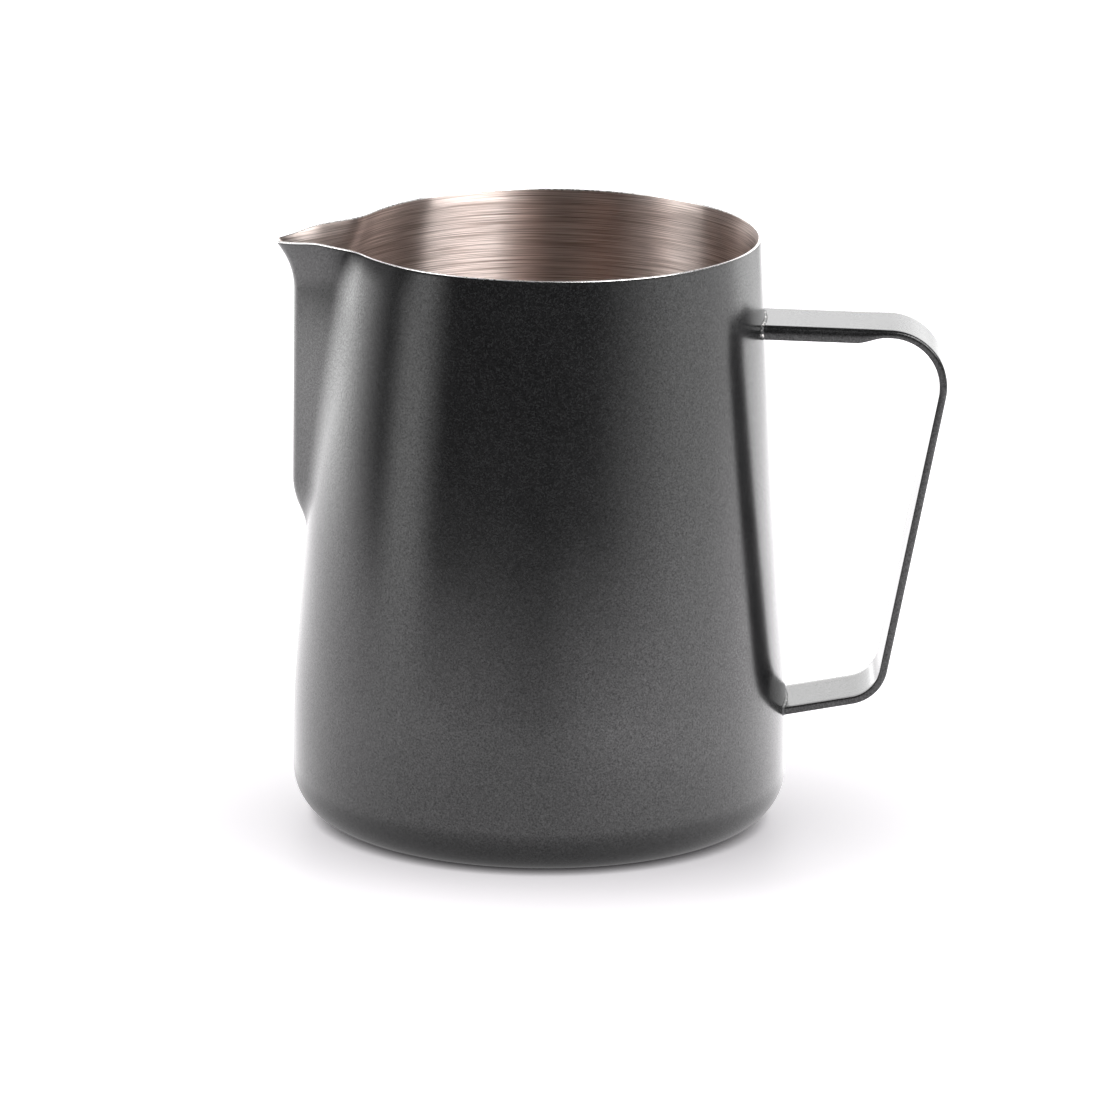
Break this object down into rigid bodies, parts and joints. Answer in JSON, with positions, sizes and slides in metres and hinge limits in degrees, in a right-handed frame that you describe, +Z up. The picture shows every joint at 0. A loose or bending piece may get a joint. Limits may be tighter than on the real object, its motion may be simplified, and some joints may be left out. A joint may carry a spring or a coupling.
{
  "type": "milk frothing pitcher",
  "caption": "Tapered sheet steel milk pitcher with a pressed pouring spout and a bent flat strap handle, coated outside and bare inside.",
  "frame": {"origin": "centre of the flat base, on the vessel's axis, in the plane the pitcher stands on", "axes": "+Z up along the vessel's axis; -X towards the spout and +X towards the handle; the XZ plane is the mirror plane"},
  "size_m": [0.1219, 0.09, 0.1086],
  "materials": {
    "coated_vessel": "satin black coat with a fine metallic grain outside; bare brushed stainless steel inside and on the rim's edge",
    "coated_strap": "satin black coat with a fine metallic grain",
    "coated_weld": "ground weld under the satin black coat"
  },
  "bodies": {
    "root": {"body_shell": "coated_vessel", "handle_strap": "coated_strap", "upper_weld": "coated_weld", "lower_weld": "coated_weld"}
  },
  "joints": []
}
